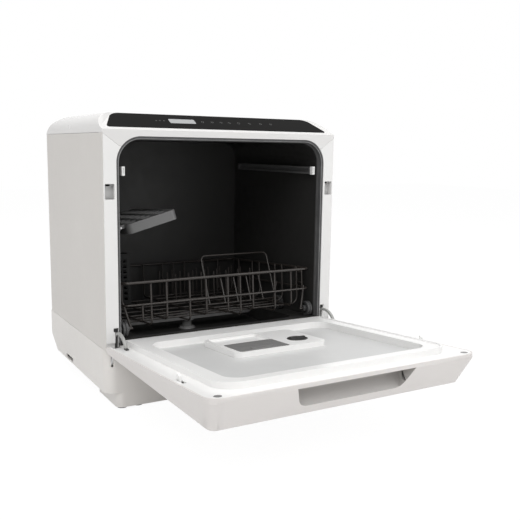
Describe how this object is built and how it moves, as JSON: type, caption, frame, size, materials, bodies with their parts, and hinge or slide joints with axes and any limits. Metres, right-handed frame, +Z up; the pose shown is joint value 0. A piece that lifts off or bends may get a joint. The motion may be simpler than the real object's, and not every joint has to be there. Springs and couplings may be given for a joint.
{
  "type": "countertop dishwasher",
  "caption": "Compact countertop dishwasher with a drop-down door, a wheeled wire basket that rolls out over the door, a folding cup shelf and a sloping touch panel.",
  "frame": {"origin": "on the worktop, under the middle of the box round the machine with its door open and its basket in", "axes": "+X to the machine's right seen from the front, +Y to its back, +Z up; the door opens towards -Y"},
  "size_m": [0.42, 0.7015, 0.4634],
  "materials": {
    "shell_white": "satin white moulding",
    "cover_grey": "fine grained pale grey moulding",
    "side_sheet": "pale warm grey paint, satin",
    "base_cream": "cream moulding, fine grain",
    "panel_black": "high gloss black",
    "display": "smoked pale window",
    "seal_rubber": "dark grey rubber",
    "tub_dark": "dark satin moulding",
    "white_trim": "glossy white",
    "back_sheet": "zinc grey sheet",
    "steel": "plain steel",
    "grey_plastic": "mid grey moulding",
    "dark_plastic": "dark moulding",
    "liner_grey": "pale grey moulding",
    "door_outer": "pale grey, satin",
    "strap_grey": "pale grey moulding",
    "wire_coat": "graphite coating on steel wire",
    "board_green": "circuit board"
  },
  "bodies": {
    "cabinet": {"base_pan": "base_cream", "front_pads": "seal_rubber", "rear_feet": "dark_plastic", "left_side_panel": "side_sheet", "right_side_panel": "side_sheet", "top_cover": "shell_white", "control_panel": "panel_black", "display_window": "display", "front_frame": "shell_white", "door_gasket": "seal_rubber", "tub": "tub_dark", "upper_rails": "tub_dark", "rail_end_caps": "white_trim", "back_panel": "back_sheet", "back_screws": "steel", "water_inlet": "white_trim", "drain_outlet": "grey_plastic", "cord_gland": "dark_plastic", "sump": "dark_plastic", "filter_plate": "steel", "wash_pump": "grey_plastic", "drain_pump": "grey_plastic", "heater": "steel", "control_board": "board_green", "hinge_brackets": "steel", "hinge_pins": "steel", "strap_guides": "dark_plastic", "latch_catches": "strap_grey", "spray_hub": "grey_plastic"},
    "door": {"door_cover": "door_outer", "door_liner": "liner_grey", "door_hinge_arms": "steel", "door_straps": "strap_grey", "strap_feet": "dark_plastic", "latch_hooks": "white_trim", "door_bumpers": "grey_plastic", "dispenser_body": "liner_grey"},
    "dispenser_lid": {"dispenser_lid": "grey_plastic"},
    "rinse_cap": {"rinse_cap": "dark_plastic"},
    "basket": {"basket_frame": "wire_coat", "basket_long_wires": "wire_coat", "basket_cross_wires": "wire_coat", "plate_tines": "wire_coat", "wheel_axles": "wire_coat", "cup_tower": "wire_coat", "shelf_clips": "grey_plastic", "shelf_rod": "steel", "plate_rack": "wire_coat"},
    "cup_shelf": {"cup_shelf": "grey_plastic"},
    "cutlery_basket": {"cutlery_basket": "dark_plastic"},
    "spray_arm": {"spray_arm": "grey_plastic"},
    "filter_cup": {"filter_cup": "grey_plastic"},
    "front_wheels": {"wheel_front_left": "dark_plastic", "wheel_front_right": "dark_plastic"},
    "middle_wheels": {"wheel_middle_left": "dark_plastic", "wheel_middle_right": "dark_plastic"},
    "rear_wheels": {"wheel_rear_left": "dark_plastic", "wheel_rear_right": "dark_plastic"}
  },
  "joints": [
    {"name": "door_hinge", "type": "hinge", "parent": "cabinet", "child": "door", "pos_m": [0, -0.00348, 0.095], "axis": [-1, 0, 0], "range_deg": [0, 85.5]},
    {"name": "basket_slide", "type": "slide", "parent": "cabinet", "child": "basket", "axis": [0, 0.997, -0.0776], "range_m": [-0.318, 0]},
    {"name": "cup_shelf_fold", "type": "hinge", "parent": "basket", "child": "cup_shelf", "pos_m": [-0.16, 0.17569, 0.27324], "axis": [0, -0.997, 0.0776], "range_deg": [0, 62]},
    {"name": "cutlery_basket_lift", "type": "slide", "parent": "basket", "child": "cutlery_basket", "axis": [0, 0.0776, 0.997], "range_m": [0, 0.03]},
    {"name": "spray_arm_spin", "type": "hinge", "parent": "cabinet", "child": "spray_arm", "pos_m": [0, 0.17152, 0.1], "axis": [0, 0, 1], "continuous": true},
    {"name": "filter_cup_turn", "type": "hinge", "parent": "cabinet", "child": "filter_cup", "pos_m": [0.058, 0.08652, 0.06], "axis": [0, 0, 1], "range_deg": [0, 90]},
    {"name": "dispenser_lid_slide", "type": "slide", "parent": "door", "child": "dispenser_lid", "axis": [0, 0.997, -0.0776], "range_m": [0, 0.05]},
    {"name": "rinse_cap_turn", "type": "hinge", "parent": "door", "child": "rinse_cap", "pos_m": [0.048, -0.13417, 0.11701], "axis": [0, 0.0776, 0.997], "range_deg": [0, 90]},
    {"name": "front_wheels_roll", "type": "hinge", "parent": "basket", "child": "front_wheels", "pos_m": [0, 0.02925, 0.12515], "axis": [-1, 0, 0], "continuous": true},
    {"name": "middle_wheels_roll", "type": "hinge", "parent": "basket", "child": "middle_wheels", "pos_m": [0, 0.12746, 0.11751], "axis": [-1, 0, 0], "continuous": true},
    {"name": "rear_wheels_roll", "type": "hinge", "parent": "basket", "child": "rear_wheels", "pos_m": [0, 0.29994, 0.10408], "axis": [-1, 0, 0], "continuous": true}
  ],
  "couplings": [
    {"joint": "front_wheels_roll", "follows": "basket_slide", "rad_per_m": 76.923},
    {"joint": "middle_wheels_roll", "follows": "basket_slide", "rad_per_m": 76.923},
    {"joint": "rear_wheels_roll", "follows": "basket_slide", "rad_per_m": 76.923}
  ]
}
